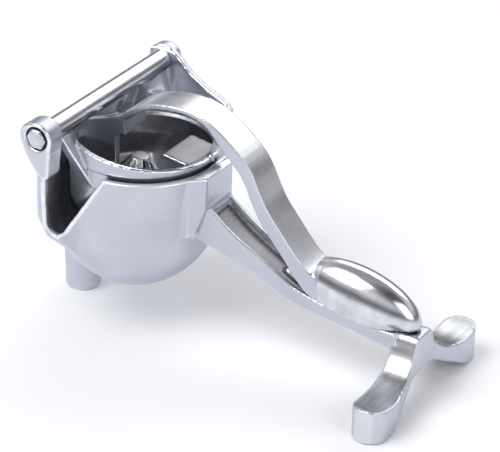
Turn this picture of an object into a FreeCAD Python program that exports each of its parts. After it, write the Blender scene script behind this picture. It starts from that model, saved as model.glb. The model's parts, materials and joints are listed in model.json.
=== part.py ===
# Table-top citrus press: a cast body with a bowl, a pouring notch, a front foot and a forked rear foot,
# and a cast lever that swings on two bolts, one in each ear, and carries the press cup and the grip.
# Frame: the origin is the centre of the front foot's sole, +X runs towards the forked foot, +Z is up.
import FreeCAD, Part
import Sketcher
import math
import os

from FreeCAD import Placement, Rotation, Vector

doc = FreeCAD.newDocument("citrus_press")
sheet = doc.addObject("Spreadsheet::Sheet", "Sizes")

# Driving dimensions in millimetres and degrees. Heights are above the table.
DIMENSIONS = [
    ("bowl_offset", 40.0, "front foot axis to bowl axis, along X"),
    ("fork_reach", 205.0, "front foot axis to the fork's foot centres"),
    ("bowl_radius", 44.5, "outer radius of the round bottom"),
    ("bowl_wall", 4.0, "wall of the bowl"),
    ("bowl_lift", 16.5, "underside of the bowl above the table"),
    ("bowl_shift", 5.0, "how far the round bottom lies in front of the bowl axis"),
    ("rim_height", 94.0, "top of the bowl's rim"),
    ("rim_flare", 0.5, "how much smaller the rim's radius is than the round bottom's"),
    ("peg_radius", 9.5, "front foot, at the sole"),
    ("peg_draft", 0.7, "how much wider the front foot is at its root"),
    ("hinge_back", 22.3, "hinge axis in front of the bowl axis"),
    ("hinge_height", 119.0, "hinge axis above the table"),
    ("ear_gap", 52.3, "middle plane to the inner face of an ear"),
    ("ear_near", 11.6, "thickness of the ear on the -Y side"),
    ("ear_far", 6.4, "thickness of the ear on the +Y side"),
    ("yoke_wall", 3.8, "wall of the yoke between bowl and ears"),
    ("notch_floor", 57.5, "lowest point of the pouring notch"),
    ("barrel_radius", 5.6, "hinge barrel of the lever"),
    ("barrel_clearance", 1.6, "barrel end to the ear, each side"),
    ("bolt_radius", 3.0, "hinge bolt shank"),
    ("bolt_clearance", 0.05, "bolt in its bores, on the radius"),
    ("bolt_reach", 16.0, "hinge bolt's reach into the barrel"),
    ("bolt_head", 10.0, "hexagon across flats of a bolt's head"),
    ("head_height", 3.2, "height of a bolt's head"),
    ("washer_radius", 6.0, "washer outer radius"),
    ("washer_thick", 1.0, "washer thickness"),
    ("socket_radius", 6.4, "counterbore in the ear's outer face"),
    ("socket_depth", 3.8, "depth of a counterbore"),
    ("cup_overlap", 1.5, "how much wider the press cup's rim is than the bowl's bore"),
    ("cup_wall", 3.2, "wall of the press cup"),
    ("cup_band", 4.6, "height of the wide band at the cup's rim"),
    ("cup_depth", 48.0, "rim of the cup to its underside"),
    ("cup_tilt", 8.0, "rearward tilt of the closed cup, degrees"),
    ("cup_height", 104.6, "middle of the cup's rim above the table"),
    ("cup_clearance", 1.3, "swinging cup to the bowl's rim"),
    ("rim_room", 1.5, "cup's rim to the yoke's rear wall"),
    ("band_lift", 1.8, "underside of the cup's band to the bowl's rim"),
    ("strap_width", 20.0, "width of the lever strap"),
    ("strap_thick", 3.2, "strap where it crosses the cup"),
    ("neck_thick", 8.4, "strap behind the cup"),
    ("grip_length", 60.0, "egg-shaped grip, along X"),
    ("grip_width", 27.0, "egg-shaped grip, across"),
    ("grip_rise", 17.5, "egg-shaped grip above its base plate"),
    ("plate_thick", 4.6, "base plate under the grip"),
    ("rest_gap", 0.3, "closed lever to the handle it rests on"),
    ("handle_root_half", 11.0, "half width of the handle at the bowl"),
    ("handle_end_half", 9.8, "half width of the handle at the fork"),
    ("root_half", 13.5, "half width of the block the handle leaves from"),
    ("channel_wall", 2.8, "side flange of the handle's channel"),
    ("channel_depth", 4.5, "depth of the handle's channel"),
    ("fork_thick", 19.0, "fork foot, along X"),
    ("fork_half", 45.0, "middle plane to the centre of a fork foot"),
    ("pad_height", 17.0, "top of a fork foot's pad"),
    ("shank_height", 37.4, "top of the fork's shank"),
    ("arch_height", 17.5, "arch under the fork"),
    ("strainer_wall", 1.5, "sheet of the strainer"),
    ("strainer_rim", 44.0, "rim of the strainer above the table"),
    ("strainer_floor", 30.0, "floor of the strainer above the table"),
    ("slot_width", 2.6, "slots in the strainer's floor"),
    ("fit_gap", 0.3, "loose pieces to their seats"),
]
for row, (alias, value, meaning) in enumerate(DIMENSIONS, start=1):
    sheet.set(f"A{row}", alias)
    sheet.set(f"B{row}", str(value))
    sheet.set(f"C{row}", meaning)
    sheet.setAlias(f"B{row}", alias)
doc.recompute()


def size(alias):
    return float(sheet.get(alias))


# Places that follow from the driving dimensions.
BOWL_X = size("bowl_offset")
HINGE = Vector(BOWL_X - size("hinge_back"), 0, size("hinge_height"))
RIM_Z = size("rim_height")
BALL = Vector(BOWL_X - size("bowl_shift"), 0, size("bowl_lift") + size("bowl_radius"))
RIM_RADIUS = size("bowl_radius") - size("rim_flare")
BORE_RADIUS = RIM_RADIUS - size("bowl_wall")
CUP_RADIUS = BORE_RADIUS + size("cup_overlap")
FORK_X = size("fork_reach")
BARREL_HALF = size("ear_gap") - size("barrel_clearance")
TALL = 300.0
AXIS_X = "Sizes.bowl_offset - Sizes.hinge_back"
AXIS_Z = "Sizes.hinge_height"


# ---------------------------------------------------------------- small helpers
def feature(name, shape):
    """A document object that holds a shape made with Part's own functions."""
    item = doc.addObject("Part::Feature", name)
    item.Shape = shape
    return item


def fuse(name, items):
    item = doc.addObject("Part::MultiFuse", name)
    item.Shapes = items
    return item


def common(name, items):
    item = doc.addObject("Part::MultiCommon", name)
    item.Shapes = items
    return item


def cut(name, base, tool):
    item = doc.addObject("Part::Cut", name)
    item.Base = base
    item.Tool = tool
    return item


def bound(item, **expressions):
    """Bind properties to the sheet; Base_x and the like stand for the placement's position."""
    for key, text in expressions.items():
        item.setExpression(key.replace("Base_", "Placement.Base."), text)
    return item


def cylinder_y(name, radius, start, length, x, z):
    """Cylinder along +Y from `start`, with every size an expression."""
    item = doc.addObject("Part::Cylinder", name)
    item.Placement = Placement(Vector(), Rotation(Vector(1, 0, 0), -90))
    return bound(item, Radius=radius, Height=length, Base_x=x, Base_y=start, Base_z=z)


def smooth(points):
    curve = Part.BSplineCurve()
    curve.interpolate([Vector(*point) for point in points])
    return curve.toShape()


def line(start, end):
    return Part.LineSegment(Vector(*start), Vector(*end)).toShape()


def arc(start, middle, end):
    return Part.Arc(Vector(*start), Vector(*middle), Vector(*end)).toShape()


def polygon(points):
    return Part.makePolygon([Vector(*point) for point in points] + [Vector(*points[0])])


def prism(edges, direction):
    """Solid swept straight from the closed flat outline that `edges` make."""
    wire = edges if isinstance(edges, Part.Wire) else Part.Wire(Part.__sortEdges__(edges))
    return Part.Face(wire).extrude(Vector(*direction))


def side_prism(points, y_from, y_to):
    """Prism across Y of a straight-sided outline given as (x, z)."""
    return prism(polygon([(x, y_from, z) for x, z in points]), (0, y_to - y_from, 0))


# ---------------------------------------------------------------- bowl, shared by body, cup and strainer
def bowl_solid(name, inset, top_extra):
    """Round bottom and leaning wall up to the rim, `inset` inside the outer surface."""
    ball = doc.addObject("Part::Sphere", name + "_ball")
    bound(
        ball,
        Radius=f"Sizes.bowl_radius - {inset}",
        Base_x="Sizes.bowl_offset - Sizes.bowl_shift",
        Base_z="Sizes.bowl_lift + Sizes.bowl_radius",
    )
    ball.Angle1 = -90
    ball.Angle2 = 0
    rings = []
    for ring, radius, x, z in (
        ("low", f"Sizes.bowl_radius - {inset}", "Sizes.bowl_offset - Sizes.bowl_shift",
         "Sizes.bowl_lift + Sizes.bowl_radius"),
        ("rim", f"Sizes.bowl_radius - Sizes.rim_flare - {inset}", "Sizes.bowl_offset", "Sizes.rim_height"),
    ):
        circle = doc.addObject("Part::Circle", f"{name}_{ring}")
        bound(circle, Radius=radius, Base_x=x, Base_z=z)
        rings.append(circle)
    wall = doc.addObject("Part::Loft", name + "_wall")
    wall.Sections = rings
    wall.Solid = True
    wall.Ruled = True
    parts = [ball, wall]
    if top_extra:
        collar = doc.addObject("Part::Cylinder", name + "_collar")
        bound(collar, Radius=f"Sizes.bowl_radius - Sizes.rim_flare - {inset}", Height=str(top_extra),
              Base_x="Sizes.bowl_offset", Base_z="Sizes.rim_height")
        parts.append(collar)
    return fuse(name, parts)


# ---------------------------------------------------------------- body casting
def yoke_levels():
    """Plan of the yoke at rising heights, from the bowl axis: the -Y half and the +Y half, rear to front."""
    radius = size("bowl_radius")
    side = size("ear_gap") + 2.4
    low = [(-2, 0.61 * radius), (-8, 0.66 * radius), (-16, 0.56 * radius), (-26, 0.28 * radius)]
    floor = [(-9, radius - 2.8), (-21, radius + 5.0), (-28, radius + 5.0), (-45, 0.3 * radius)]
    lobe = [(-4, radius - 2.0), (-21, radius + 6.5), (-32.5, radius + 6.5), (-46, 0.3 * radius)]
    rim = [(4, radius - 1.2), (-17, side - 3), (-31.5, side - 3), (-43, 0.4 * radius)]
    top = [(10, radius + 1.0), (-14, side), (-32, side), (-43, 0.4 * radius)]
    far_rim = [(22, radius - 1.0)] + rim[1:]
    far_top = [(30, radius + 2.0)] + top[1:]
    return [
        (size("bowl_lift") + 13, low, low),
        (size("notch_floor") - 2, floor, floor),
        (size("notch_floor") + 9, lobe, lobe),
        (RIM_Z, rim, far_rim),
        (RIM_Z + 16, top, far_top),
        (RIM_Z + 40, top, far_top),
    ]


def yoke_solid(inset):
    """Ruled solid through the plan outlines, each drawn `inset` inside its edge."""
    wires = []
    for height, near, far in yoke_levels():
        ring = [(BOWL_X + x, -y) for x, y in near] + [(BOWL_X + x, y) for x, y in reversed(far)]
        wire = polygon([(x, y, height) for x, y in ring])
        if inset:
            wire = wire.makeOffset2D(-inset, 2)
        wires.append(wire)
    return Part.makeLoft(wires, True, True)


def ear_outline(y, scale):
    """Teardrop around the hinge with a sharp front corner, as edges in the plane at `y`."""

    def at(dx, dz):
        return (HINGE.x + scale * dx, y, HINGE.z + scale * dz)

    return [
        arc(at(-10.8, 1.0), at(-7.4, 6.2), at(-1.0, 8.4)),
        arc(at(-1.0, 8.4), at(6.2, 5.8), at(8.6, -1.0)),
        line(at(8.6, -1.0), at(7.4, -9.0)),
        line(at(7.4, -9.0), at(6.2, -21.0)),
        line(at(6.2, -21.0), at(3.6, -23.0)),
        arc(at(3.6, -23.0), at(-5.0, -13.5), at(-10.8, 1.0)),
    ]


def near_side_keep():
    """What is left of the -Y half, seen from the side: bowl height, pouring notch and ear."""
    floor = size("notch_floor")
    x = BOWL_X

    def at(px, pz):
        return (px, 0, pz)

    edges = [
        line(at(x - 90, 0), at(x + 90, 0)),
        line(at(x + 90, 0), at(x + 90, RIM_Z)),
        line(at(x + 90, RIM_Z), at(x + 3, RIM_Z)),
        line(at(x + 3, RIM_Z), at(x - 17.5, floor + 3.5)),
        arc(at(x - 17.5, floor + 3.5), at(x - 21.8, floor), at(x - 27.2, floor + 5.5)),
        line(at(x - 27.2, floor + 5.5), at(x - 26.6, RIM_Z - 3)),
        line(at(x - 26.6, RIM_Z - 3), at(x - 19, HINGE.z - 8)),
        line(at(x - 19, HINGE.z - 8), at(x - 19, HINGE.z + 4)),
        line(at(x - 19, HINGE.z + 4), at(HINGE.x - 9, HINGE.z + 4)),
        line(at(HINGE.x - 9, HINGE.z + 4), at(HINGE.x - 9.5, HINGE.z - 8)),
        line(at(HINGE.x - 9.5, HINGE.z - 8), at(x - 33, RIM_Z)),
        line(at(x - 33, RIM_Z), at(x - 90, RIM_Z)),
        line(at(x - 90, RIM_Z), at(x - 90, 0)),
    ]
    return prism(edges, (0, -TALL, 0))


def far_side_keep():
    """What is left of the +Y half: a closed wall whose rim falls from the ear to the bowl's rear."""
    x = BOWL_X
    outline = [
        (x - 90, 0), (x + 90, 0), (x + 90, RIM_Z), (x + 30, RIM_Z), (x + 29, RIM_Z + 8.5),
        (x + 22, RIM_Z + 13.5), (x + 7.5, RIM_Z + 16.8), (x - 4, RIM_Z + 21.8), (x - 10, RIM_Z + 26.5),
        (HINGE.x + 7, HINGE.z + 5), (HINGE.x - 8, HINGE.z + 5),
        (HINGE.x - 9.5, HINGE.z - 8), (x - 33, RIM_Z), (x - 90, RIM_Z),
    ]
    return side_prism(outline, 0, TALL)


def fork_outline(x):
    """Anchor-shaped front view of the fork in the plane at `x`, as one face for each half."""
    half = size("fork_half")
    pad = size("pad_height")
    shank = size("shank_height")
    arch = size("arch_height")
    neck = size("handle_end_half")
    reach = half + 10.0

    def side(sign):
        def at(y, z):
            return (x, sign * y, z)

        return [
            arc(at(0, arch), at(9, arch - 1.3), at(18, arch - 5.4)),
            smooth([at(18, arch - 5.4), at(31, 5.2), at(half - 4, 0)]),
            line(at(half - 4, 0), at(reach, 0)),
            line(at(reach, 0), at(reach, pad + 2.2)),
            smooth([at(reach, pad + 2.2), at(half - 2, pad + 0.2), at(half - 17, pad + 0.8),
                    at(neck + 8.5, pad + 4.2), at(neck + 2.2, pad + 10.0), at(neck - 0.2, pad + 15.0),
                    at(neck - 1.6, shank - 2.0), at(neck - 4.0, shank)]),
            line(at(neck - 4.0, shank), at(0, shank)),
        ]
    middle = line((x, 0, arch), (x, 0, shank))
    return [Part.Face(Part.Wire(Part.__sortEdges__(side(sign) + [middle]))) for sign in (-1, 1)]


def fork_solid():
    """The fork: its front view given thickness, slimmer at the shank, with feet rounded in plan."""
    thick = size("fork_thick")
    start = FORK_X - thick / 2
    halves = [face.extrude(Vector(thick, 0, 0)) for face in fork_outline(start)]
    body = halves[0].fuse(halves[1]).removeSplitter()
    half = size("fork_half")
    slim = FORK_X + 0.24 * thick
    ring = [(start, half), (FORK_X + thick / 2, half), (FORK_X + thick / 2, half - 11), (slim, half - 33)]
    ring += [(x, -y) for x, y in reversed(ring)]
    plan = prism(polygon([(x, y, -1) for x, y in ring]), (0, 0, TALL))
    for sign in (-1, 1):
        plan = plan.fuse(Part.makeCylinder(thick / 2, TALL, Vector(FORK_X, sign * half, -1)))
    return body.common(plan)


def handle_rear():
    return BOWL_X + size("bowl_radius") - 4


def along_handle(share):
    """X at a share of the way from the handle's root to the fork."""
    root = handle_rear() - 5
    return root + share * (FORK_X - size("fork_thick") / 2 + 2 - root)


# The handle's top edge seen from the side: share of the way along it, height over the fork's shank.
HANDLE_TOP = [(0.0, 46.5), (0.10, 38.3), (0.19, 29.8), (0.30, 21.8), (0.40, 15.2), (0.50, 8.6), (0.60, 5.0),
              (0.70, 2.6), (0.80, 1.0), (0.90, 0.1), (1.0, 0.0)]
HANDLE_UNDER = [(0.0, 19.5), (0.10, 16.8), (0.28, 10.0), (0.40, 3.2), (0.50, -1.2), (0.60, -3.4),
                (0.72, -5.4), (0.86, -7.6), (1.0, -9.6)]


def handle_curve(profile, lift, y):
    base = size("shank_height") + lift
    return [(along_handle(share), y, base + rise) for share, rise in profile]


def handle_plan(inset, x_from, x_to):
    """Tapering plan of the handle as a tall prism, `inset` inside its sides."""
    wide = size("handle_root_half") - inset
    slim = size("handle_end_half") - inset
    bend = along_handle(0.55)

    def half_at(x):
        share = min(1.0, max(0.0, (x - along_handle(0)) / (bend - along_handle(0))))
        return wide + (slim - wide) * share

    xs = [x_from, min(max(bend, x_from), x_to), x_to]
    ring = [(x, -half_at(x), 0) for x in xs] + [(x, half_at(x), 0) for x in reversed(xs)]
    return prism(polygon(ring), (0, 0, TALL))


def handle_solid():
    """Handle from the bowl to the fork: side view by plan, with a channel let into its top."""
    width = 2 * size("handle_root_half") + 2
    top = handle_curve(HANDLE_TOP, 0, -width / 2)
    under = handle_curve(HANDLE_UNDER, 0, -width / 2)
    edges = [smooth(top), line(top[-1], under[-1]), smooth(under), line(under[0], top[0])]
    bar = prism(edges, (0, width, 0))
    bar = bar.common(handle_plan(0, along_handle(0), along_handle(1)))
    floor = handle_curve(HANDLE_TOP, -size("channel_depth"), -width / 2)
    above = [(x, y, z + 60) for x, y, z in (floor[-1], floor[0])]
    edges = [smooth(floor), line(floor[-1], above[0]), line(above[0], above[1]), line(above[1], floor[0])]
    trench = prism(edges, (0, width, 0))
    channel = handle_plan(size("channel_wall"), handle_rear() + 7.5, along_handle(0.66))
    return bar.cut(trench.common(channel))


def make_body():
    outer = bowl_solid("bowl_outside", "0", 0)
    inner = bowl_solid("bowl_inside", "Sizes.bowl_wall", 60)

    yoke = feature("yoke_outside", yoke_solid(0))
    root = feature("handle_root_block", handle_root())
    keep = feature("side_views", near_side_keep().fuse(far_side_keep()))
    front = feature("front_view", front_trim())
    hollow = feature("yoke_inside", yoke_solid(size("yoke_wall")))
    envelope = fuse("body_envelope", [outer, yoke, root])
    walls = cut("yoke_hollowed", cut("bowl_hollowed", envelope, inner), hollow)
    room = doc.addObject("Part::Cylinder", "cup_rim_room")
    rim_bore = "Sizes.bowl_radius - Sizes.rim_flare - Sizes.bowl_wall"
    bound(room, Radius=f"{rim_bore} + Sizes.cup_overlap + Sizes.rim_room", Height=str(TALL),
          Base_x="Sizes.bowl_offset", Base_z="Sizes.rim_height")
    shell = cut("body_shell", cut("body_trimmed", common("body_walls", [walls, keep]), front), room)

    peg = doc.addObject("Part::Cone", "front_foot")
    bound(peg, Radius1="Sizes.peg_radius", Radius2="Sizes.peg_radius + Sizes.peg_draft",
          Height="Sizes.bowl_lift + 22")
    peg_trim = cut("front_foot_trimmed", peg, bowl_solid("bowl_for_foot", "1.5", 0))

    ears = []
    for label, sign, scale in (("near", -1, 1.0), ("far", 1, 0.88)):
        edges = ear_outline(sign * size("ear_gap"), scale)
        ears.append(feature(f"ear_{label}", prism(edges, (0, sign * size(f"ear_{label}"), 0))))
    handle = feature("handle_bar", handle_solid().cut(cavity_block()))
    fork = feature("fork_foot", fork_solid())
    whole = fuse("body_whole", [shell, peg_trim, handle, fork] + ears)

    tools = []
    for label, sign in (("near", -1), ("far", 1)):
        seat = f"Sizes.ear_gap + Sizes.ear_{label} - Sizes.socket_depth"
        tools.append(cylinder_y(f"ear_socket_{label}", "Sizes.socket_radius",
                                f"-({seat}) - Sizes.socket_depth - 5" if sign < 0 else seat,
                                "Sizes.socket_depth + 5", AXIS_X, AXIS_Z))
        tools.append(cylinder_y(f"ear_bore_{label}", "Sizes.bolt_radius + Sizes.bolt_clearance",
                                f"-({seat}) - 5" if sign < 0 else "Sizes.ear_gap - 5",
                                f"Sizes.ear_{label} + 10", AXIS_X, AXIS_Z))
    body = cut("lower_body", whole, fuse("body_bores", tools))
    return body


def front_trim():
    """What the front wall loses between the ears, down to the bowl's rim."""
    gap = size("ear_gap")
    x_from, x_to = BOWL_X - 90, BOWL_X - 24
    top = RIM_Z + 60
    outline = [(-gap + 1.5, top), (-gap + 2.5, RIM_Z + 14), (-gap + 8, RIM_Z + 4), (-gap + 15, RIM_Z),
               (gap - 15, RIM_Z), (gap - 8, RIM_Z + 4), (gap - 2.5, RIM_Z + 14), (gap - 1.5, top)]
    return prism(polygon([(x_from, y, z) for y, z in outline]), (x_to - x_from, 0, 0))


def handle_root():
    """Block on the bowl's rear from which the handle leaves, level with the rim."""
    half = size("root_half")
    rear = BOWL_X + size("bowl_radius") + 2.5
    side = side_prism([(BOWL_X + 15, RIM_Z), (rear, RIM_Z), (rear - 0.5, RIM_Z - 18), (rear - 5, RIM_Z - 32),
                       (BOWL_X + 15, RIM_Z - 46)], -TALL / 2, TALL / 2)
    turn = math.radians(26)
    tangent = (BOWL_X + RIM_RADIUS * math.cos(turn), RIM_RADIUS * math.sin(turn))
    plan = [(BOWL_X + 15, -tangent[1]), (tangent[0], -tangent[1]), (rear - 1.5, -half), (rear, -half + 1.5),
            (rear, half - 1.5), (rear - 1.5, half), (tangent[0], tangent[1]), (BOWL_X + 15, tangent[1])]
    return side.common(prism(polygon([(x, y, 0) for x, y in plan]), (0, 0, TALL)))


def cavity_block():
    """Keeps the handle's root out of the bowl's hollow."""
    ball = Part.makeSphere(size("bowl_radius") - size("bowl_wall") + 0.5, BALL)
    shaft = Part.makeCylinder(BORE_RADIUS + 0.5, TALL, Vector(BOWL_X, 0, BALL.z))
    return ball.fuse(shaft)


# ---------------------------------------------------------------- lever casting
CUP_TOP = Vector(BOWL_X, 0, size("cup_height"))
CUP_TURN = Rotation(Vector(0, 1, 0), size("cup_tilt"))


def cup_revolve(profile):
    """Solid of revolution about the cup's own tilted axis, from (radius, depth below rim) corners."""
    points = [(radius, 0, -depth) for radius, depth in profile]
    solid = Part.Face(polygon(points)).revolve(Vector(), Vector(0, 0, 1), 360)
    solid.Placement = Placement(CUP_TOP, CUP_TURN)
    return solid


def swing_room(radius):
    """Everything that passes a hole of `radius` at rim height while turning about the hinge."""
    drop = HINGE.z - RIM_Z
    back = BOWL_X - HINGE.x
    count = 12
    points = []
    for step in range(count + 1):
        turn = math.pi * (step / count) - math.pi / 2
        y = radius * math.sin(turn)
        reach = math.hypot(back + radius * math.cos(turn), drop)
        points.append((HINGE.x + reach, y, HINGE.z))
    start, end = points[0], points[-1]
    edges = [smooth(points), line(end, (HINGE.x, end[1], HINGE.z)),
             line((HINGE.x, end[1], HINGE.z), (HINGE.x, start[1], HINGE.z)),
             line((HINGE.x, start[1], HINGE.z), start)]
    face = Part.Face(Part.Wire(Part.__sortEdges__(edges)))
    return face.revolve(HINGE, Vector(0, 1, 0), 360)


def cup_solid():
    """Hollow press cup: a wide band at the rim, and below it a wall that clears the bowl as it swings."""
    rim = CUP_RADIUS
    wall = size("cup_wall")
    depth = size("cup_depth")
    band = size("cup_band")
    pass_radius = BORE_RADIUS - size("cup_clearance")
    low = rim - 5.0
    outside = cup_revolve([(0, 0), (rim, 0), (rim - 0.8, band), (low, depth - 12), (low - 4, depth - 4),
                           (low - 11, depth), (0, depth)])
    inside = cup_revolve([(0, -1), (rim - wall, -1), (rim - wall - 0.6, band), (low - wall, depth - 14),
                          (low - wall - 6, depth - 9), (0, depth - 9)])
    outer = kept_clear(outside, 0)
    inner = kept_clear(inside, wall)
    return outer.cut(inner)


def kept_clear(shape, inset):
    """The part of `shape` above the rim, and of the rest what slips in and out of the bore."""
    radius = BORE_RADIUS - size("cup_clearance") - inset
    above = Part.makeBox(TALL, TALL, TALL, Vector(-TALL / 2, -TALL / 2, RIM_Z + size("band_lift")))
    column = Part.makeCylinder(radius, TALL, Vector(BOWL_X, 0, 0))
    return shape.common(swing_room(radius).fuse(above)).common(column.fuse(above))


def arm_solid(sign):
    """Wing that carries the cup's front wall up to the barrel, on one side."""
    radius = BORE_RADIUS - size("cup_clearance") - 0.2
    wall = size("cup_wall")
    low = RIM_Z - 10
    turns = [math.radians(turn) for turn in (97, 112, 127, 142, 157)]
    foot = [Vector(BOWL_X + reach * math.cos(turn), sign * reach * math.sin(turn), low)
            for reach, order in ((radius, turns), (radius - wall, turns[::-1])) for turn in order]
    y_in, y_out = BARREL_HALF - 23.0, BARREL_HALF - 0.8
    steps = [y_out + (y_in - y_out) * share for share in (0, 0.25, 0.5, 0.75, 1)]
    head = [Vector(HINGE.x + dx, sign * y, HINGE.z)
            for dx, order in ((-2.0, steps), (2.6, steps[::-1])) for y in order]
    return Part.makeLoft([Part.makePolygon(ring + [ring[0]]) for ring in (foot, head)], True, True)


def strap_top():
    """Side view of the strap's upper edge, from the cup over the rear rim to the grip."""
    x, z = BOWL_X, RIM_Z
    grip = grip_start()
    over_cup = [(x - 8.5, z + 19.5), (x - 2, z + 25.5), (x + 8, z + 30.5), (x + 20, z + 33.3),
                (x + 34, z + 33.8), (x + 47, z + 30), (x + 60, z + 21), (x + 71, z + 10.3)]
    to_grip = [(grip[0] - 26, grip[1] + 31.5), (grip[0] - 16, grip[1] + 18.5), (grip[0] - 7, grip[1] + 8.0),
               (grip[0] + 2, grip[1] + 0.5), (grip[0] + 9, grip[1] - 2.5)]
    return over_cup + to_grip


def strap_under():
    """Side view of the strap's lower edge."""
    x, z = BOWL_X, RIM_Z
    thin = size("strap_thick")
    deep = size("neck_thick")
    grip = grip_start()
    over_cup = [(x - 6.0, z + 17.5), (x - 0.5, z + 24.9 - thin), (x + 8.8, z + 30.5 - thin),
                (x + 20.3, z + 33.3 - thin), (x + 33, z + 33.8 - thin), (x + 43.5, z + 30.6 - thin)]
    behind = [(x + 52, z + 22.6 - 0.45 * deep), (x + 63.5, z + 13.0 - 0.6 * deep)]
    to_grip = [(grip[0] - 32, grip[1] + 33.0 - 0.75 * deep), (grip[0] - 21, grip[1] + 18.5 - 0.75 * deep),
               (grip[0] - 11, grip[1] + 6.5 - 0.75 * deep), (grip[0] - 1, rest_height(0.575) + 1.0),
               (grip[0] + 9, rest_height(0.66) + 0.2)]
    return over_cup + behind + to_grip


def grip_start():
    """Rear edge of the grip where the strap runs into it, as (x, z)."""
    return (FORK_X + 1.5 - size("grip_length"), rest_height(0.56) + size("plate_thick") + 6.0)


def rest_height(share):
    """Height of the lever's underside over the handle, at a share of the handle's length."""
    low, high = next(pair for pair in zip(HANDLE_TOP, HANDLE_TOP[1:]) if pair[1][0] >= share)
    part = (share - low[0]) / (high[0] - low[0])
    return size("shank_height") + low[1] + part * (high[1] - low[1]) + size("rest_gap")


def grip_axis():
    """Centre of the grip's base and its slope, from the plate's two ends."""
    x_from = FORK_X + 1.5 - size("grip_length")
    x_to = FORK_X + 1.5
    z_from = rest_height(0.60) + size("plate_thick") + 2.8
    z_to = rest_height(0.95) + size("plate_thick") - 3.2
    return Vector(x_from, 0, z_from), Vector(x_to, 0, z_to)


def grip_solid():
    """Half egg, cut flat at its rear end and pointed at its front."""
    rear, tip = grip_axis()
    run = tip - rear
    slope = math.degrees(math.atan2(-run.z, run.x))
    length = run.Length
    widest = 0.42
    half_length = length * (1 - widest)
    egg = Part.makeSphere(1.0)
    stretch = FreeCAD.Matrix()
    stretch.scale(half_length, size("grip_width") / 2, size("grip_rise"))
    egg = egg.transformGeometry(stretch)
    egg = egg.common(Part.makeBox(TALL, TALL, TALL, Vector(-length * widest, -TALL / 2, -1.5)))
    egg.Placement = Placement(rear + run * widest, Rotation(Vector(0, 1, 0), slope))
    return egg


def plate_solid():
    """Base plate of the grip: lies just over the handle and is rounded at its end."""
    shares = (0.60, 0.66, 0.72, 0.80, 0.90)
    lower = [(along_handle(share), -TALL / 2, rest_height(share)) for share in shares]
    tip_x = FORK_X - 1.0
    lower.append((tip_x, -TALL / 2, rest_height(0.97)))
    upper = [(x, y, z + size("plate_thick")) for x, y, z in lower]
    edges = [smooth(lower), line(lower[-1], upper[-1]), smooth(upper), line(upper[0], lower[0])]
    slab = prism(edges, (0, TALL, 0))
    half = size("strap_width") / 2
    wide = size("grip_width") / 2 - 1.5
    x0, x1, x2, x3 = (along_handle(0.60), grip_start()[0] + 10, FORK_X - 28, tip_x)
    rim = [line((x0, -half + 1, 0), (x0, half - 1, 0)),
           smooth([(x0, -half + 1, 0), (x1, -wide + 1, 0), (x2, -wide, 0), (x3 - 6, -6.5, 0), (x3, 0, 0),
                   (x3 - 6, 6.5, 0), (x2, wide, 0), (x1, wide - 1, 0), (x0, half - 1, 0)])]
    return slab.common(prism(rim, (0, 0, TALL)))


def strap_solid():
    half = size("strap_width") / 2
    top = [(x, -half, z) for x, z in strap_top()]
    under = [(x, -half, z) for x, z in strap_under()]
    edges = [smooth(top), line(top[-1], under[-1]), smooth(under), line(under[0], top[0])]
    return prism(edges, (0, 2 * half, 0))


def leg_solid():
    """Front end of the strap turned down, and the rib and web from it to the cup's front wall and floor."""
    half = size("strap_width") / 2
    x, z = BOWL_X, RIM_Z
    rib_wall = 3.8
    leg = side_prism([(x - 9.2, z + 19.4), (x - 5.6, z + 18.2), (x - 5.2, z + 9.5), (x - 8.4, z + 9.5)],
                     -half, half)
    rib = side_prism([(x - 34.5, z + 10.6), (x - 8.0, z + 20.4), (x - 7.2, z + 9.5), (x - 34.5, z - 1.0)],
                     -half, -half + rib_wall)
    web = side_prism([(x - 31.5, z + 6), (x - 10.5, z + 12), (x - 11.5, z - 22), (x - 24, z - 22)],
                     -half, -half + rib_wall)
    return leg.fuse([rib, web])


def rear_web():
    """Web that ties the strap's underside to the land at the cup's rear rim."""
    x, z = BOWL_X, RIM_Z
    outline = [(x + 38, z + 2.5), (x + 44, z + 1.5), (x + 57.5, z + 13.5), (x + 54, z + 21.5),
               (x + 44, z + 28)]
    return side_prism(outline, 1.5, 7)


def cup_land():
    """Flat land that closes the rear of the cup's mouth, in the plane of its rim."""
    land = Part.makeBox(CUP_RADIUS - 20, 27, 3.0, Vector(20, -13, -3.4))
    land.Placement = Placement(CUP_TOP, CUP_TURN)
    rim = cup_revolve([(0, -1), (CUP_RADIUS - 1.0, -1), (CUP_RADIUS - 1.0, 8), (0, 8)])
    return land.common(rim)


def cup_boss():
    """Fluted cone in the middle of the cup's floor."""
    base = size("cup_depth") - 10
    rings = []
    for radius, depth in ((20.0, base), (5.0, base - 22)):
        points = []
        for step in range(24):
            reach = radius * (1.0 if step % 2 else 0.84)
            turn = math.radians(15 * step)
            points.append((reach * math.cos(turn), reach * math.sin(turn), -depth))
        rings.append(polygon(points))
    cone = Part.makeLoft(rings, True, True)
    cone.Placement = Placement(CUP_TOP, CUP_TURN)
    return cone


def make_lever():
    barrel = cylinder_y("barrel", "Sizes.barrel_radius", "-Sizes.ear_gap + Sizes.barrel_clearance",
                        "2 * (Sizes.ear_gap - Sizes.barrel_clearance)", AXIS_X, AXIS_Z)
    pieces = [
        barrel,
        feature("cup", cup_solid()),
        feature("arm_near", arm_solid(-1)),
        feature("arm_far", arm_solid(1)),
        feature("strap", strap_solid()),
        feature("strap_leg", leg_solid()),
        feature("rear_web", rear_web()),
        feature("cup_land", cup_land()),
        feature("cup_boss", cup_boss()),
        feature("grip", grip_solid()),
        feature("grip_plate", plate_solid()),
    ]
    bore = cylinder_y("barrel_bore", "Sizes.bolt_radius + Sizes.bolt_clearance", "-Sizes.ear_gap",
                      "2 * Sizes.ear_gap", AXIS_X, AXIS_Z)
    return cut("upper_lever", fuse("lever_whole", pieces), bore)


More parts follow.
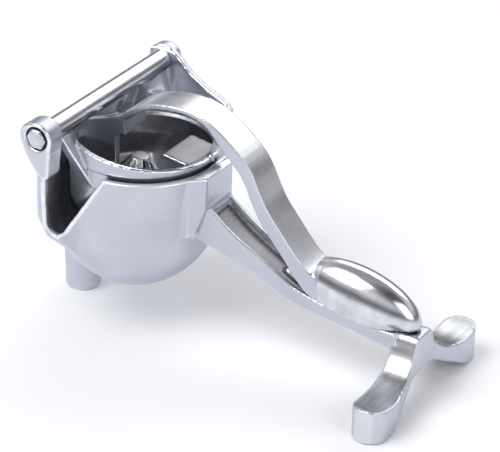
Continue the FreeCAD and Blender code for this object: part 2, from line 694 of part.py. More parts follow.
# ---------------------------------------------------------------- loose strainer
def make_strainer():
    """Dish of slotted sheet that hangs in the bowl on its rolled rim."""
    wall = size("strainer_wall")
    seat = size("bowl_radius") - size("bowl_wall") - size("fit_gap")

    def seat_radius(height):
        return math.sqrt(seat ** 2 - (BALL.z - height) ** 2)

    rim_z, floor_z = size("strainer_rim"), size("strainer_floor")
    lip = 1.4
    rim_r = seat_radius(rim_z - lip)
    low_r = seat_radius(floor_z) - 3.0
    outer = [(0, floor_z), (low_r - 4, floor_z), (low_r, floor_z + 2.5), (rim_r - 2.6, rim_z - 2.6),
             (rim_r, rim_z - lip), (rim_r, rim_z)]
    inner = [(rim_r - 2.4, rim_z), (rim_r - 3.4, rim_z - 2), (low_r - wall, floor_z + 4),
             (low_r - 4.6, floor_z + wall), (0, floor_z + wall)]
    dish = Part.Face(polygon([(BALL.x + reach, 0, height) for reach, height in outer + inner]))
    dish = dish.revolve(Vector(BALL.x, 0, 0), Vector(0, 0, 1), 360)
    slot_half = size("slot_width") / 2
    tools = []
    for inner, outer, count, turn in ((0.18, 0.44, 8, 0.0), (0.54, 0.80, 16, 11.25)):
        slot = Part.makeBox((outer - inner) * low_r, 2 * slot_half, 3 * wall,
                            Vector(inner * low_r, -slot_half, floor_z - wall))
        for step in range(count):
            spoke = slot.copy()
            spoke.rotate(Vector(), Vector(0, 0, 1), turn + 360.0 * step / count)
            spoke.translate(Vector(BALL.x, 0, 0))
            tools.append(spoke)
    return feature("strainer", dish.cut(tools))


# ---------------------------------------------------------------- hinge hardware
def washer(name, start):
    """Plain washer as a padded ring; the body's Z axis lies along the hinge."""
    body = doc.addObject("PartDesign::Body", name)
    body.Placement = Placement(Vector(), Rotation(Vector(1, 0, 0), -90))
    bound(body, Base_x=AXIS_X, Base_y=start, Base_z=AXIS_Z)
    sketch = body.newObject("Sketcher::SketchObject", name + "_ring")
    plane = next(item for item in body.Origin.OriginFeatures if item.Role == "XY_Plane")
    sketch.AttachmentSupport = [(plane, "")]
    sketch.MapMode = "FlatFace"
    for index, (start_radius, radius) in enumerate(((6.0, "Sizes.washer_radius"),
                                                    (3.0, "Sizes.bolt_radius + Sizes.bolt_clearance"))):
        sketch.addGeometry(Part.Circle(Vector(), Vector(0, 0, 1), start_radius), False)
        sketch.addConstraint(Sketcher.Constraint("Coincident", index, 3, -1, 1))
        number = sketch.addConstraint(Sketcher.Constraint("Radius", index, start_radius))
        sketch.setExpression(f"Constraints[{number}]", radius)
    pad = body.newObject("PartDesign::Pad", name + "_pad")
    pad.Profile = sketch
    pad.setExpression("Length", "Sizes.washer_thick")
    return body


def hex_block(name, start, outward):
    """Hexagon of a bolt head with its outer corners turned off at 30 degrees."""
    prism_item = doc.addObject("Part::Prism", name + "_hexagon")
    prism_item.Polygon = 6
    turned = doc.addObject("Part::Cone", name + "_turned")
    bound(prism_item, Circumradius="Sizes.bolt_head / cos(30 deg) / 2", Height="Sizes.head_height")
    wide = "Sizes.bolt_head * 0.49 + Sizes.head_height * 1.732"
    slim = "Sizes.bolt_head * 0.49"
    bound(turned, Radius1=wide, Radius2=slim, Height="Sizes.head_height")
    turn = -90 if outward > 0 else 90
    for item in (prism_item, turned):
        item.Placement = Placement(Vector(), Rotation(Vector(1, 0, 0), turn))
        bound(item, Base_x=AXIS_X, Base_y=start, Base_z=AXIS_Z)
    return common(name, [prism_item, turned])


def make_hardware():
    """A bolt with its washer in each ear; their plain ends carry the barrel."""
    for label, sign in (("near", -1), ("far", 1)):
        seat = f"Sizes.ear_gap + Sizes.ear_{label} - Sizes.socket_depth"
        head_start = f"{seat} + Sizes.washer_thick"
        tip = "Sizes.ear_gap - Sizes.barrel_clearance - Sizes.bolt_reach"
        length = f"{head_start} + Sizes.head_height - ({tip})"
        if sign < 0:
            washer(f"washer_{label}", f"-({head_start})")
            head = hex_block(f"head_{label}", f"-({head_start})", sign)
            start = f"-({head_start}) - Sizes.head_height"
        else:
            washer(f"washer_{label}", seat)
            head = hex_block(f"head_{label}", head_start, sign)
            start = tip
        shank = cylinder_y(f"shank_{label}", "Sizes.bolt_radius", start, length, AXIS_X, AXIS_Z)
        fuse(f"bolt_{label}", [head, shank])


make_body()
make_lever()
make_strainer()
make_hardware()
doc.recompute()

NODES = ["lower_body", "upper_lever", "strainer", "bolt_near", "bolt_far", "washer_near", "washer_far"]
for item in doc.Objects:
    if "Invalid" in item.State or "Error" in item.State:
        raise RuntimeError(f"{item.Name} failed: {item.State}")
os.makedirs("parts", exist_ok=True)
for name in NODES:
    item = doc.getObject(name)
    item.Label = name
    shape = item.Shape
    print(name, "valid", shape.isValid(), "solids", len(shape.Solids), "volume", round(shape.Volume),
          "box", shape.BoundBox)
    if shape.isNull() or not shape.isValid():
        raise RuntimeError(f"{name} has no valid shape")
    shape.exportStep(f"parts/{name}.step")
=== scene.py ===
"""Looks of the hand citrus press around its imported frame: metal pieces, studio floor, lights and camera."""

import json
import math

import bpy
from mathutils import Matrix, Vector
from mathutils.bvhtree import BVHTree
from mathutils.geometry import intersect_point_line


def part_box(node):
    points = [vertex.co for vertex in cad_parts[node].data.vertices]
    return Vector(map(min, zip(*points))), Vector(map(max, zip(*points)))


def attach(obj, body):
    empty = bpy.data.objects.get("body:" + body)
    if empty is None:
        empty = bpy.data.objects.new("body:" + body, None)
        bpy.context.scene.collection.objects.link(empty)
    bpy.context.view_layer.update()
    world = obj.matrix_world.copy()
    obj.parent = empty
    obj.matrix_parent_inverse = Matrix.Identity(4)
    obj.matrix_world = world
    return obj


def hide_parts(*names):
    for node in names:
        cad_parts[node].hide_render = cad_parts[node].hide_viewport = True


MM = 0.001

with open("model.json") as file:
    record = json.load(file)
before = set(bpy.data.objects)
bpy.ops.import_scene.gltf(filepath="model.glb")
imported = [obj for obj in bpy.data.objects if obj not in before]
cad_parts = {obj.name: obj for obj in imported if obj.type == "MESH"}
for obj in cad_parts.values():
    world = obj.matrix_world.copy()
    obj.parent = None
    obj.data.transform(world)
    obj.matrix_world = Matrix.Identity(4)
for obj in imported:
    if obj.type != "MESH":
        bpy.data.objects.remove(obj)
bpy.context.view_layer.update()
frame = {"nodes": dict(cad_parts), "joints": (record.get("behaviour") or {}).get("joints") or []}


def add(name, data):
    """A new object in the scene, for a mesh, a light or a camera."""
    item = bpy.data.objects.new(name, data)
    bpy.context.scene.collection.objects.link(item)
    return item


# ---------------------------------------------------------------- camera
def make_camera():
    """Long lens, so the view is nearly parallel: about 265 mm wide at the object."""
    data = bpy.data.cameras.new("view")
    data.lens = 187.2
    data.sensor_width = 36.0
    data.clip_end = 20
    camera = add("view", data)
    place = Vector((713.7, -997.3, 713.3)) * MM
    aim = Vector((87.0, 30.1, 47.5)) * MM
    roll = Matrix.Rotation(math.radians(1.1), 4, "Z")
    turn = (aim - place).to_track_quat("-Z", "Y").to_matrix().to_4x4()
    camera.matrix_world = Matrix.Translation(place) @ turn @ roll
    bpy.context.scene.camera = camera


make_camera()


# ---------------------------------------------------------------- materials
class Shader:
    """A node material under construction: one Principled shader and short ways to add what feeds it."""

    def __init__(self, name, color, metallic, roughness):
        self.material = bpy.data.materials.new(name)
        self.material.use_nodes = True
        self.nodes = self.material.node_tree.nodes
        self.links = self.material.node_tree.links
        self.surface = self.nodes["Principled BSDF"]
        self.surface.inputs["Base Color"].default_value = (*color, 1)
        self.surface.inputs["Metallic"].default_value = metallic
        self.surface.inputs["Roughness"].default_value = roughness
        self.place = self.nodes.new("ShaderNodeTexCoord").outputs["Object"]

    def noise(self, scale, detail=4.0, stretch=(1, 1, 1)):
        mapping = self.nodes.new("ShaderNodeMapping")
        mapping.inputs["Scale"].default_value = stretch
        texture = self.nodes.new("ShaderNodeTexNoise")
        texture.inputs["Scale"].default_value = scale
        texture.inputs["Detail"].default_value = detail
        self.links.new(self.place, mapping.inputs["Vector"])
        self.links.new(mapping.outputs["Vector"], texture.inputs["Vector"])
        return texture.outputs["Fac"]

    def spread(self, value, low, high, start=0.3, end=0.7):
        """`value` between start and end drawn out to the range low to high."""
        node = self.nodes.new("ShaderNodeMapRange")
        for key, number in (("From Min", start), ("From Max", end), ("To Min", low), ("To Max", high)):
            node.inputs[key].default_value = number
        self.links.new(value, node.inputs["Value"])
        return node.outputs["Result"]

    def mix(self, factor, first, second):
        node = self.nodes.new("ShaderNodeMix")
        node.data_type = "RGBA"
        for key, value in (("A", first), ("B", second)):
            socket = next(item for item in node.inputs if item.name == key and item.type == "RGBA")
            if isinstance(value, tuple):
                socket.default_value = (*value, 1)
            else:
                self.links.new(value, socket)
        self.links.new(factor, node.inputs["Factor"])
        return next(item for item in node.outputs if item.type == "RGBA")

    def tones(self, value, first, second):
        """From the first colour to the second as `value` rises through its usual range."""
        return self.mix(self.spread(value, 0, 1), first, second)

    def combine(self, operation, first, second):
        node = self.nodes.new("ShaderNodeMath")
        node.operation = operation
        for socket, value in zip(node.inputs, (first, second)):
            if isinstance(value, (int, float)):
                socket.default_value = value
            else:
                self.links.new(value, socket)
        return node.outputs["Value"]

    def edges(self, start, end):
        """0 on flat metal, 1 on outer edges, which the shaders paint lighter: painted highlight along edges,
        and wear.
        """
        pointed = self.nodes.new("ShaderNodeNewGeometry").outputs["Pointiness"]
        return self.spread(pointed, 0, 1, start, end)

    def facing(self, axis, start, end):
        """0 where the surface hardly faces along the piece's axis, either way, and 1 where it does."""
        split = self.nodes.new("ShaderNodeSeparateXYZ")
        coordinates = self.nodes.new("ShaderNodeTexCoord")
        self.links.new(coordinates.outputs["Normal"], split.inputs["Vector"])
        return self.spread(self.combine("ABSOLUTE", split.outputs[axis], 0), 0, 1, start, end)

    def bump(self, height, depth, strength):
        """Relief of `depth` millimetres, added to any that the shader has already."""
        node = self.nodes.new("ShaderNodeBump")
        node.inputs["Distance"].default_value = depth * MM
        node.inputs["Strength"].default_value = strength
        previous = self.surface.inputs["Normal"]
        if previous.is_linked:
            self.links.new(previous.links[0].from_socket, node.inputs["Normal"])
        self.links.new(height, node.inputs["Height"])
        self.links.new(node.outputs["Normal"], previous)

    def drive(self, socket, value):
        self.links.new(value, self.surface.inputs[socket])


SATIN_TONES = (0.53, 0.55, 0.625), (0.62, 0.64, 0.705)


def satin_metal(name):
    """Blasted casting: fine even grain, faint cloudiness, edges and rims painted near-white as painted
    highlight and wear.
    """
    shader = Shader(name, (0.58, 0.60, 0.67), 1.0, 0.4)
    cloud = shader.noise(38)
    grain = shader.noise(1500, 2.0)
    # Edges painted near-white: painted highlight along them, and wear.
    edge_wear_and_highlight = shader.edges(0.512, 0.56)
    tone = shader.tones(cloud, *SATIN_TONES)
    shader.drive("Base Color", shader.mix(edge_wear_and_highlight, tone, (0.93, 0.94, 0.96)))
    rough = shader.spread(cloud, 0.36, 0.46)
    shader.drive("Roughness", shader.combine("SUBTRACT", rough, shader.combine("MULTIPLY", edge_wear_and_highlight, 0.2)))
    shader.bump(grain, 0.06, 0.6)
    shader.bump(cloud, 0.4, 0.25)
    return shader.material


def polished_metal(name):
    """Buffed casting: soft mirror with long faint polishing lines and a slightly wavy surface."""
    shader = Shader(name, (0.74, 0.75, 0.79), 1.0, 0.14)
    waves = shader.noise(45, 2.0)
    lines = shader.noise(420, 3.0, (0.06, 1, 1))
    smudge = shader.noise(90, 5.0)
    tone = shader.tones(smudge, (0.54, 0.55, 0.60), (0.80, 0.81, 0.84))
    shader.drive("Base Color", tone)
    rough = shader.combine("ADD", shader.spread(smudge, 0.20, 0.12), shader.spread(lines, 0.0, 0.05))
    shader.drive("Roughness", rough)
    shader.bump(waves, 0.6, 0.22)
    shader.bump(lines, 0.03, 0.35)
    return shader.material


def buffed_metal(name):
    """Flats buffed by hand: blurred reflections and fine lines drawn out along the piece."""
    shader = Shader(name, (0.64, 0.65, 0.69), 1.0, 0.3)
    lines = shader.noise(420, 3.0, (0.06, 1, 1))
    smudge = shader.noise(60, 4.0)
    # Edges painted lighter: painted highlight along them, and wear.
    edge_wear_and_highlight = shader.edges(0.56, 0.64)
    tone = shader.tones(smudge, (0.69, 0.70, 0.74), (0.76, 0.77, 0.805))
    shader.drive("Base Color", shader.mix(edge_wear_and_highlight, tone, (0.84, 0.85, 0.88)))
    rough = shader.combine("ADD", shader.spread(smudge, 0.25, 0.31), shader.spread(lines, 0.0, 0.06))
    shader.drive("Roughness", rough)
    shader.bump(lines, 0.04, 0.4)
    shader.bump(smudge, 0.4, 0.2)
    return shader.material


def fork_metal(name):
    """The fork's three finishes: blasted front and rear, buffed hollow sides, and scratched tops painted
    darker as painted shade.
    """
    shader = Shader(name, (0.60, 0.61, 0.66), 1.0, 0.34)
    cloud = shader.noise(38)
    grain = shader.noise(1500, 2.0)
    scratches = shader.noise(500, 3.0, (1, 0.12, 1))
    blasted = shader.facing("X", 0.45, 0.62)
    # Tops painted darker: painted shade.
    shaded_tops = shader.facing("Z", 0.80, 0.92)
    # Edges painted lighter: painted highlight along them, and wear.
    edge_wear_and_highlight = shader.edges(0.53, 0.60)
    satin = shader.tones(cloud, *SATIN_TONES)
    dark = shader.tones(scratches, (0.34, 0.345, 0.37), (0.50, 0.51, 0.54))
    tone = shader.mix(shaded_tops, shader.mix(blasted, (0.70, 0.71, 0.745), satin), dark)
    shader.drive("Base Color", shader.mix(edge_wear_and_highlight, tone, (0.88, 0.89, 0.91)))
    rough = shader.combine("ADD", shader.spread(blasted, 0.24, 0.38, 0, 1), shader.spread(cloud, 0.0, 0.08))
    shader.drive("Roughness", shader.combine("SUBTRACT", rough, shader.combine("MULTIPLY", edge_wear_and_highlight, 0.12)))
    shader.bump(grain, 0.06, 0.5)
    shader.bump(scratches, 0.04, 0.4)
    return shader.material


def pale_highlight_metal(name):
    """Near-white metal with small dull nicks: painted highlight on rims and notch edges, painted light on the
    wall behind the notch, and the colour of the channel's bar.
    """
    shader = Shader(name, (0.86, 0.87, 0.90), 1.0, 0.3)
    nicks = shader.noise(220, 4.0)
    shader.drive("Base Color", shader.tones(nicks, (0.78, 0.79, 0.83), (0.92, 0.93, 0.95)))
    shader.drive("Roughness", shader.spread(nicks, 0.34, 0.50))
    shader.bump(nicks, 0.08, 0.4)
    return shader.material


def shadow_metal(name):
    """Painted shade: dark mottled metal at the bottom of slots and round the bolt heads."""
    shader = Shader(name, (0.10, 0.10, 0.115), 1.0, 0.5)
    shade_mottle = shader.noise(300, 4.0)
    shader.drive("Base Color", shader.tones(shade_mottle, (0.05, 0.05, 0.06), (0.17, 0.17, 0.19)))
    shader.drive("Roughness", shader.spread(shade_mottle, 0.4, 0.6))
    shader.bump(shade_mottle, 0.1, 0.4)
    return shader.material


def sheet_metal(name):
    """Brushed strainer sheet."""
    shader = Shader(name, (0.62, 0.63, 0.65), 1.0, 0.3)
    lines = shader.noise(600, 3.0, (0.05, 1, 1))
    shader.drive("Base Color", shader.tones(lines, (0.56, 0.57, 0.59), (0.70, 0.71, 0.73)))
    shader.drive("Roughness", shader.spread(lines, 0.24, 0.40))
    shader.bump(lines, 0.04, 0.5)
    return shader.material


def plated_metal(name):
    """Zinc of the bolt heads, bluish, with dull blotches."""
    shader = Shader(name, (0.55, 0.59, 0.62), 1.0, 0.25)
    blotch = shader.noise(260, 4.0)
    shader.drive("Base Color", shader.tones(blotch, (0.44, 0.48, 0.51), (0.66, 0.69, 0.72)))
    shader.drive("Roughness", shader.spread(blotch, 0.16, 0.36))
    shader.bump(blotch, 0.08, 0.4)
    return shader.material


def hollow_shade_metal(name):
    """Painted shade inside the cup and the bowl: darker casting with a soft mottle."""
    shader = Shader(name, (0.36, 0.365, 0.39), 1.0, 0.34)
    cloud = shader.noise(70, 5.0)
    shader.drive("Base Color", shader.tones(cloud, (0.27, 0.275, 0.30), (0.44, 0.445, 0.47)))
    shader.drive("Roughness", shader.spread(cloud, 0.26, 0.42))
    shader.bump(cloud, 0.3, 0.4)
    return shader.material


def brushed_metal(name):
    """Dark surface with short crossing scratches, on the floor of the handle's channel; on the cup's land its
    dark tone is painted shade.
    """
    shader = Shader(name, (0.30, 0.30, 0.32), 1.0, 0.4)
    lines = shader.noise(700, 3.0, (1, 0.08, 1))
    patch = shader.noise(60, 3.0)
    both = shader.combine("ADD", shader.spread(lines, 0, 0.6), shader.spread(patch, 0, 0.4))
    shader.drive("Base Color", shader.mix(both, (0.13, 0.13, 0.14), (0.32, 0.32, 0.34)))
    shader.drive("Roughness", shader.spread(lines, 0.30, 0.48))
    shader.bump(lines, 0.05, 0.6)
    return shader.material


SATIN = satin_metal("satin_casting")
POLISHED = polished_metal("polished_casting")
HOLLOW_SHADE = hollow_shade_metal("hollow_shade_casting")
BRUSHED = brushed_metal("brushed_channel")
BUFFED = buffed_metal("buffed_casting")
FORK = fork_metal("fork_casting")
PALE_HIGHLIGHT = pale_highlight_metal("pale_highlight")
SHADOW = shadow_metal("painted_shade_metal")
SHEET = sheet_metal("strainer_sheet")
PLATED = plated_metal("zinc_plate")


# ---------------------------------------------------------------- castings
def casting(node, body, material, voxel, rounds):
    """A copy of the node's mesh with the rounded edges of a casting; it stands for the node."""
    source = frame["nodes"][node]
    piece = add(node + "_cast", source.data.copy())
    weld = piece.modifiers.new("weld", "WELD")
    weld.merge_threshold = 0.00001
    remesh = piece.modifiers.new("remesh", "REMESH")
    remesh.mode = "VOXEL"
    remesh.voxel_size = voxel
    soften = piece.modifiers.new("soften", "SMOOTH")
    soften.factor = 0.5
    soften.iterations = rounds
    depsgraph = bpy.context.evaluated_depsgraph_get()
    mesh = bpy.data.meshes.new_from_object(piece.evaluated_get(depsgraph))
    piece.modifiers.clear()
    piece.data = mesh
    mesh.materials.clear()
    mesh.materials.append(material)
    mesh.shade_smooth()
    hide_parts(node)
    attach(piece, body)
    return piece


def paint(piece, material, belongs):
    """Gives `material` to the faces that pass a test of their centre, in millimetres, and normal."""
    mesh = piece.data
    number = mesh.materials.find(material.name)
    if number < 0:
        mesh.materials.append(material)
        number = len(mesh.materials) - 1
    for face in mesh.polygons:
        if belongs(face.center / MM, face.normal):
            face.material_index = number


# Places in millimetres; front is low x, at the front foot. The strainer lies in the bowl's round
# bottom, whose middle is in front of the bowl's axis.
HINGE = Vector(frame["joints"][0]["pos_m"]) / MM
STRAINER_MID = sum(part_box("strainer"), Vector()) / 2 / MM
ROUND_BOTTOM_SHIFT = 5.0
RIM_HEIGHT = 94.0
BOWL = Vector((STRAINER_MID.x + ROUND_BOTTOM_SHIFT, 0, RIM_HEIGHT))
BORE = 40.5
RIM_OUTSIDE = 47.0
BOWL_FLOOR = 20.6
BOWL_FRONT = -2.5
LIT_REAR, LIT_SIDE, LIT_LOW, LIT_REACH = 20.0, -6.0, 25.0, 56.5
SIDE_WALL = -32.0
FRONT_WALL = 8.0
NOTCH_REAR, NOTCH_LOW, NOTCH_EDGE_HIGH = BOWL.x + 4.0, 54.0, 112.0
NOTCH_OUTLINE = [Vector((BOWL.x + x, z)) for x, z in (
    (3, RIM_HEIGHT), (-17.5, 61), (-21.8, 57.5), (-27.2, 63), (-26.6, 88))]
NOTCH_BAND = 2.2
CHANNEL_START, CHANNEL_END = 86.0, 160.0
CHANNEL_HALF, CHANNEL_TOP = 8.6, 75.0
FORK_START = 197.0
CUP_INSIDE = 39.6
CUP_OUTSIDE = 33.0
CUP_LOW, CUP_LAND, CUP_HIGH = 62.0, 96.0, 103.5
CUP_REAR = 84.0
STRAP_LOW = 112.0
STRAP_HALF = 12.0
FLANK_START, FLANK_SIDE = 50.0, 9.0
ARMS_REAR, ARMS_LOW = 44.0, 96.0
BARREL_REACH = 6.6
GRIP_START = 152.0


def from_bowl_axis(point):
    return math.hypot(point.x - BOWL.x, point.y)


def faces_bowl_axis(point, normal):
    return (BOWL.x - point.x) * normal.x - point.y * normal.y > 0


def inside_bowl(point, normal):
    below_rim = BOWL_FLOOR < point.z < RIM_HEIGHT - 0.6 and point.x > BOWL_FRONT
    return below_rim and from_bowl_axis(point) < BORE + 0.3 and faces_bowl_axis(point, normal)


def behind_notch(point, normal):
    """Bowl and yoke wall seen through the pouring notch, which daylight reaches; it is painted pale as
    painted light.
    """
    near = point.x < LIT_REAR and point.y < LIT_SIDE and LIT_LOW < point.z < RIM_HEIGHT
    facing = normal.x > 0.2 and faces_bowl_axis(point, normal)
    return near and facing and from_bowl_axis(point) < LIT_REACH


def on_rim(point, normal):
    return normal.z > 0.8 and abs(point.z - RIM_HEIGHT) < 1.0 and from_bowl_axis(point) < RIM_OUTSIDE


def on_notch_edge(point, normal):
    """The wall's edge round the notch and up both sides of it, but not the front wall's outer face."""
    edge = point.y < SIDE_WALL and abs(normal.y) < 0.4 and normal.z > -0.2
    outer_face = normal.x < 0 and point.x < FRONT_WALL
    return edge and not outer_face and point.x < NOTCH_REAR and NOTCH_LOW < point.z < NOTCH_EDGE_HIGH


def on_notch_band(point, normal):
    """A near-white band on the outer wall, all along the notch: painted highlight."""
    if point.y > SIDE_WALL or normal.y > -0.3:
        return False
    place = Vector((point.x, point.z))
    for start, end in zip(NOTCH_OUTLINE, NOTCH_OUTLINE[1:]):
        nearest, share = intersect_point_line(place, start, end)
        nearest = (start, nearest.to_2d(), end)[(share > 0) + (share > 1)]
        if (place - nearest).length < NOTCH_BAND:
            return True
    return False


def in_channel(point, normal):
    inside = abs(point.y) < CHANNEL_HALF and CHANNEL_START < point.x < CHANNEL_END
    return inside and normal.z > 0.3 and point.z < CHANNEL_TOP


def on_fork(point, normal):
    return point.x > FORK_START


body_piece = casting("lower_body", "body", SATIN, voxel=0.8 * MM, rounds=4)
# The bowl's inside is painted darker: painted shade.
paint(body_piece, HOLLOW_SHADE, inside_bowl)
# The wall behind the notch is painted pale: painted light where daylight reaches it.
paint(body_piece, PALE_HIGHLIGHT, behind_notch)
paint(body_piece, BRUSHED, in_channel)
# Rims, notch edges and the band along the notch are painted near-white: painted highlight.
paint(body_piece, PALE_HIGHLIGHT, on_rim)
paint(body_piece, PALE_HIGHLIGHT, on_notch_edge)
paint(body_piece, PALE_HIGHLIGHT, on_notch_band)
paint(body_piece, FORK, on_fork)


def inside_cup(point, normal):
    hollow = from_bowl_axis(point) < CUP_INSIDE and CUP_LOW < point.z < CUP_HIGH and point.x < CUP_REAR
    return hollow and (faces_bowl_axis(point, normal) or normal.z > 0.5)


def on_cup_land(point, normal):
    """The flat at the rear of the cup's hollow, under the strap."""
    hollow = from_bowl_axis(point) < CUP_INSIDE and CUP_LAND < point.z < CUP_HIGH and point.x < CUP_REAR
    return hollow and normal.z > 0.8


def on_lever_flank(point, normal):
    """Cup outside and the strap's sides: blasted, not polished."""
    strap_side = abs(normal.y) > 0.75 and abs(point.y) > FLANK_SIDE and FLANK_START < point.x < GRIP_START
    cup = point.z < STRAP_LOW and point.x < CUP_REAR and from_bowl_axis(point) > CUP_OUTSIDE
    return strap_side or (cup and normal.z < 0.6 and not faces_bowl_axis(point, normal))


def on_arms(point, normal):
    from_hinge = math.hypot(point.x - HINGE.x, point.z - HINGE.z)
    return point.x < ARMS_REAR and point.z > ARMS_LOW and from_hinge > BARREL_REACH


def on_strap(point, normal):
    over_cup = point.z < STRAP_LOW and point.x < CUP_REAR
    return ARMS_REAR < point.x < GRIP_START and abs(point.y) < STRAP_HALF and not over_cup


lever_piece = casting("upper_lever", "lever", POLISHED, voxel=0.7 * MM, rounds=4)
paint(lever_piece, BUFFED, on_strap)
paint(lever_piece, SATIN, on_lever_flank)
paint(lever_piece, SATIN, on_arms)
# The cup's hollow is painted darker: painted shade.
paint(lever_piece, HOLLOW_SHADE, inside_cup)
# The cup's land is painted dark: painted shade, with scratches.
paint(lever_piece, BRUSHED, on_cup_land)


def dress(node, material):
    mesh = frame["nodes"][node].data
    mesh.materials.clear()
    mesh.materials.append(material)


dress("strainer", SHEET)
# The washers are painted dark: painted shade in the gaps between the barrel and the ears.
dress("washer_near", SHADOW)
dress("washer_far", SHADOW)


def ring_mesh(name, rings, material):
    """A closed skin over rings of points, each right-handed about the way to the next one."""
    around = len(rings[0])
    last = (len(rings) - 1) * around
    faces = []
    for first in range(0, last, around):
        second = first + around
        for step in range(around):
            following = (step + 1) % around
            faces.append((first + step, first + following, second + following, second + step))
    faces.append(tuple(reversed(range(around))))
    faces.append(tuple(range(last, last + around)))
    mesh = bpy.data.meshes.new(name)
    mesh.from_pydata([point for ring in rings for point in ring], [], faces)
    mesh.materials.append(material)
    mesh.update()
    return mesh


# ---------------------------------------------------------------- hinge bolts
HEAD_HEIGHT = 3.2
HEAD_CHAMFER = 0.6
SHANK_RADIUS = 3.0
TIP_CHAMFER = 0.5
BOLT_STEPS = 48


def hexagon_radius(angle, flat, corner_turn):
    """Distance from the axis to a hexagon's side; `flat` is half the distance across its flats."""
    within = (angle - corner_turn) % math.radians(60) - math.radians(30)
    return flat / math.cos(within)


def bolt(node, outward):
    """The node's bolt with the chamfered head of a real one, which faces -y or y as outward is -1 or 1."""
    low, high = (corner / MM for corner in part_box(node))
    face, tip = (low.y, high.y) if outward < 0 else (high.y, low.y)
    flat = min(high.x - low.x, high.z - low.z) / 2
    corner_turn = 0 if high.x - low.x > high.z - low.z else math.radians(30)
    # Each profile row: place along the axis, and a plain radius or the hexagon's limit in half flats
    profile = [(face, None, 0.90), (face - outward * HEAD_CHAMFER, None, 1.12),
               (face - outward * HEAD_HEIGHT, None, 1.16), (face - outward * HEAD_HEIGHT, SHANK_RADIUS, 0),
               (tip + outward * TIP_CHAMFER, SHANK_RADIUS, 0), (tip, SHANK_RADIUS - TIP_CHAMFER, 0)]
    angles = [outward * math.tau * step / BOLT_STEPS for step in range(BOLT_STEPS)]
    rings = []
    for y, radius, limit in profile:
        reaches = [radius or min(hexagon_radius(angle, flat, corner_turn), flat * limit) for angle in angles]
        rings.append([Vector((HINGE.x + reach * math.cos(angle), y, HINGE.z + reach * math.sin(angle))) * MM
                      for angle, reach in zip(angles, reaches)])
    piece = add(node + "_head", ring_mesh(node + "_head", rings, PLATED))
    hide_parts(node)
    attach(piece, "body")


bolt("bolt_near", -1)
bolt("bolt_far", 1)


# ---------------------------------------------------------------- dark slot of painted shade, and the bar, in the handle's channel
body_mesh = frame["nodes"]["lower_body"].data
BODY_SKIN = BVHTree.FromPolygons([point.co for point in body_mesh.vertices],
                                 [tuple(face.vertices) for face in body_mesh.polygons])


def channel_floor(x, y):
    """Height of the channel's floor on the CAD mesh, all in millimetres."""
    above = Vector((x, y, CHANNEL_TOP)) * MM
    return BODY_SKIN.ray_cast(above, Vector((0, 0, -1)))[0].z / MM


RIDGE_SINK = 0.15
RIDGE_RINGS, RIDGE_STEPS = 25, 10


def ridge(name, material, start, end, middle, half_width, height):
    """A low rounded bar along the channel, with round ends, that dips just under the floor."""
    rings = []
    for number in range(RIDGE_RINGS):
        x = start + (end - start) * number / (RIDGE_RINGS - 1)
        from_end = min(x - start, end - x)
        full = math.sqrt(max(1 - (1 - min(from_end / half_width, 1)) ** 2, 0.01))
        base = channel_floor(x, middle) - RIDGE_SINK
        angles = [math.pi * step / (RIDGE_STEPS - 1) for step in range(RIDGE_STEPS)]
        rings.append([Vector((x, middle + half_width * full * math.cos(angle),
                              base + (height + RIDGE_SINK) * full * math.sin(angle))) * MM
                      for angle in angles])
    mesh = ring_mesh(name, rings, material)
    for face in mesh.polygons[:-2]:
        face.use_smooth = True
    piece = add(name, mesh)
    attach(piece, "body")


# The slot is a dark plate of painted shade in the groove round the bar.
ridge("channel_slot_shade", SHADOW, start=124.0, end=168.0, middle=2.0, half_width=3.6, height=0.35)
ridge("channel_bar", PALE_HIGHLIGHT, start=126.0, end=166.0, middle=2.0, half_width=1.6, height=1.9)


# ---------------------------------------------------------------- studio, in metres
def make_floor():
    """Pale paper just under the object."""
    mesh = bpy.data.meshes.new("floor")
    reach = 6.0
    corners = [(-reach, -reach, 0), (reach, -reach, 0), (reach, reach, 0), (-reach, reach, 0)]
    mesh.from_pydata(corners, [], [(0, 1, 2, 3)])
    floor = add("floor", mesh)
    floor.location.z = -0.2 * MM
    paper = Shader("paper", (0.95, 0.955, 0.97), 0.0, 0.8)
    mesh.materials.append(paper.material)


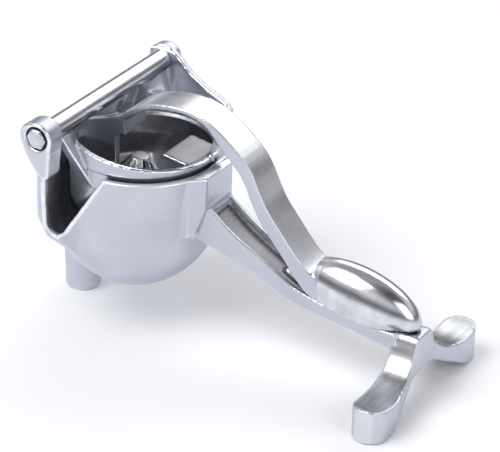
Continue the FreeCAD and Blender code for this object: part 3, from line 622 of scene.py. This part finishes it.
def area_light(name, place, aim, size, power):
    data = bpy.data.lights.new(name, "AREA")
    data.shape = "RECTANGLE"
    data.size, data.size_y = size
    data.energy = power
    lamp = add(name, data)
    lamp.location = place
    lamp.rotation_mode = "QUATERNION"
    lamp.rotation_quaternion = (Vector(aim) - Vector(place)).to_track_quat("-Z", "Y")


def make_world():
    """Pale studio with a dim belt low down and a dark flag overhead, for polished metal to reflect."""
    world = bpy.data.worlds.new("studio")
    world.use_nodes = True
    bpy.context.scene.world = world
    nodes, links = world.node_tree.nodes, world.node_tree.links
    place = nodes.new("ShaderNodeTexCoord")
    split = nodes.new("ShaderNodeSeparateXYZ")
    ramp = nodes.new("ShaderNodeValToRGB")
    links.new(place.outputs["Generated"], split.inputs["Vector"])
    links.new(split.outputs["Z"], ramp.inputs["Fac"])
    links.new(ramp.outputs["Color"], nodes["Background"].inputs["Color"])
    # Brightness by height: 0 is the horizon and all below it, 1 is straight up
    stops = ((0.0, 0.85), (0.06, 0.60), (0.14, 0.20), (0.27, 0.25), (0.42, 0.70), (0.62, 1.0),
             (0.88, 0.45))
    while len(ramp.color_ramp.elements) < len(stops):
        ramp.color_ramp.elements.new(0.5)
    for element, (position, tone) in zip(ramp.color_ramp.elements, stops):
        element.position = position
        element.color = (tone, tone, tone * 1.04, 1)
    across = nodes.new("ShaderNodeVectorMath")
    across.operation = "DOT_PRODUCT"
    across.inputs[1].default_value = Vector((0.50, -0.20, 0.84)).normalized()
    flag = nodes.new("ShaderNodeMapRange")
    for key, number in (("From Min", 0.84), ("From Max", 0.96), ("To Min", 0.8), ("To Max", 0.2)):
        flag.inputs[key].default_value = number
    links.new(place.outputs["Generated"], across.inputs[0])
    links.new(across.outputs["Value"], flag.inputs["Value"])
    links.new(flag.outputs["Result"], nodes["Background"].inputs["Strength"])


make_floor()
make_world()
bpy.context.scene.view_settings.view_transform = "Standard"
bpy.context.scene.view_settings.look = "None"
area_light("key", (-0.5, -0.9, 1.6), (0.08, 0, 0.04), (1.2, 1.2), 21)
area_light("fill", (1.6, -0.6, 1.0), (0.08, 0, 0.05), (1.0, 1.4), 9)
area_light("rear", (0.0, 1.4, 1.3), (0.08, 0, 0.05), (1.8, 0.8), 9)
